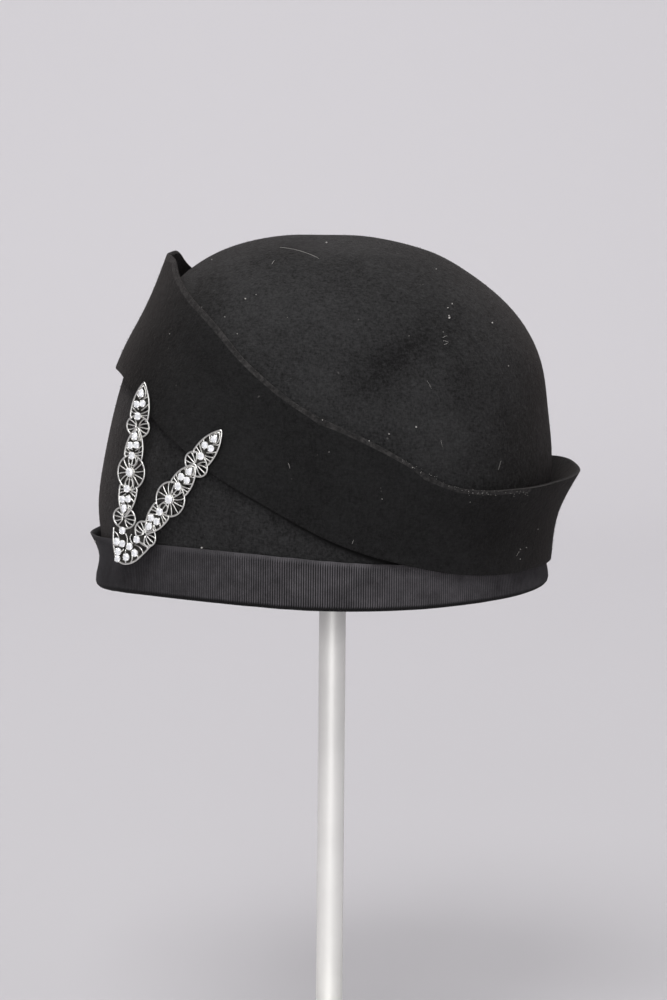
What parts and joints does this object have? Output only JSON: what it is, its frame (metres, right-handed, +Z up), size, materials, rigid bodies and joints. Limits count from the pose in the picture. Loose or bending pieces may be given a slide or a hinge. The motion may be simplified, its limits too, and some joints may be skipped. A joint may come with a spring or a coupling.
{
  "type": "cloche hat on display stand",
  "caption": "Domed felt cloche hat with a turned-up pointed cuff, ribbon band and openwork V brooch, seated on a round pole stand.",
  "frame": {"origin": "middle of the underside of the stand's base", "axes": "+Z up, the hat's front faces -Y and the wearer's left is +X"},
  "size_m": [0.1728, 0.2158, 0.38],
  "materials": {
    "felt": "matt black wool felt with a short nap",
    "ribbon": "black ribbed ribbon, low sheen",
    "brooch_metal": "bright silver plate, darker in the recesses",
    "stones": "clear faceted crystal",
    "stand_metal": "satin nickel"
  },
  "bodies": {
    "root": {"brooch_frame": "brooch_metal", "brooch_pin": "brooch_metal", "brooch_stone_01": "stones", "brooch_stone_02": "stones", "brooch_stone_03": "stones", "brooch_stone_04": "stones", "brooch_stone_05": "stones", "brooch_stone_06": "stones", "brooch_stone_07": "stones", "brooch_stone_08": "stones", "brooch_stone_09": "stones", "brooch_stone_10": "stones", "brooch_stone_11": "stones", "brooch_stone_12": "stones", "brooch_stone_13": "stones", "brooch_stone_14": "stones", "brooch_stone_15": "stones", "brooch_stone_16": "stones", "brooch_stone_17": "stones", "brooch_stone_18": "stones", "brooch_stone_19": "stones", "brooch_stone_20": "stones", "brooch_stone_21": "stones", "brooch_stone_22": "stones", "brooch_stone_23": "stones", "brooch_stone_24": "stones", "brooch_stone_25": "stones", "brooch_stone_26": "stones", "brooch_stone_27": "stones", "brooch_stone_28": "stones", "brooch_stone_29": "stones", "brooch_stone_30": "stones", "brooch_stone_31": "stones", "brooch_stone_32": "stones", "brooch_stone_33": "stones", "brooch_stone_34": "stones", "brooch_stone_35": "stones", "crown": "felt", "cuff": "felt", "ribbon_band": "ribbon", "stand_base": "stand_metal", "stand_pole": "stand_metal", "stand_seat": "stand_metal"}
  },
  "joints": []
}
